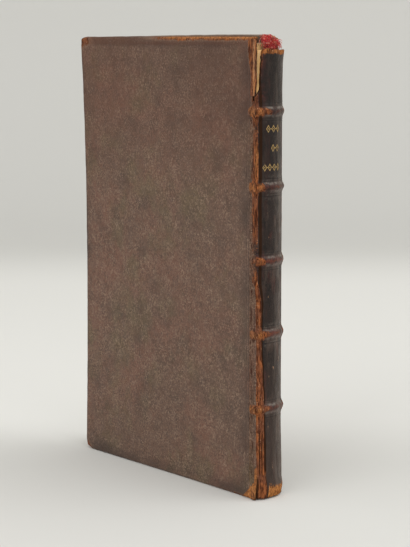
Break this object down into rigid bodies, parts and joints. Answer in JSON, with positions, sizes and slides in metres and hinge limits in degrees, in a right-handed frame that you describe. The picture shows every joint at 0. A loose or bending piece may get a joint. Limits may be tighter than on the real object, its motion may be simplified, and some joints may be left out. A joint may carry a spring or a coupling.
{
  "type": "antique leather book",
  "caption": "Small antique book bound in brown leather, with raised bands on a rounded spine and two covers that open on worn joints.",
  "frame": {"origin": "middle of the box round the closed book, at the height of its tail edges", "axes": "+X from the fore-edge towards the spine, -Y out of the back cover, +Z from tail to head"},
  "size_m": [0.1026, 0.0142, 0.1688],
  "materials": {
    "cover_leather": "speckled brown calf, worn at edges and joints",
    "spine_leather": "darkened calf with a dull polish",
    "joint_leather": "abraded calf, cracked along the fold",
    "gilding": "dull gold leaf, rubbed",
    "page_edges": "aged rag paper",
    "endpaper": "aged laid paper, browned at the edges",
    "parchment_lining": "parchment, glued",
    "red_silk": "wound silk thread, frayed",
    "hemp_cord": "twisted hemp",
    "pasteboard": "layered pasteboard"
  },
  "bodies": {
    "root": {"text_block": "page_edges", "back_flyleaf": "endpaper", "front_flyleaf": "endpaper", "sewing_cord_1": "hemp_cord", "sewing_cord_2": "hemp_cord", "sewing_cord_3": "hemp_cord", "sewing_cord_4": "hemp_cord", "sewing_cord_5": "hemp_cord", "lining_panel_1": "parchment_lining", "lining_panel_2": "parchment_lining", "lining_panel_3": "parchment_lining", "lining_panel_4": "parchment_lining", "lining_panel_5": "parchment_lining", "lining_panel_6": "parchment_lining", "head_endband_core": "hemp_cord", "head_endband_silk": "red_silk", "tail_endband_core": "hemp_cord", "tail_endband_silk": "red_silk", "spine_leather": "spine_leather"},
    "back_cover": {"back_board": "pasteboard", "back_cord_slips": "hemp_cord", "back_leather": "cover_leather", "back_pastedown": "endpaper"},
    "front_cover": {"front_board": "pasteboard", "front_cord_slips": "hemp_cord", "front_leather": "cover_leather", "front_pastedown": "endpaper"}
  },
  "joints": [
    {"name": "back_cover_hinge", "type": "hinge", "parent": "root", "child": "back_cover", "pos_m": [0.04752, -0.007, 0.084], "axis": [0, 0, 1], "range_deg": [0, 180]},
    {"name": "front_cover_hinge", "type": "hinge", "parent": "root", "child": "front_cover", "pos_m": [0.04752, 0.007, 0.084], "axis": [0, 0, -1], "range_deg": [0, 180]}
  ]
}
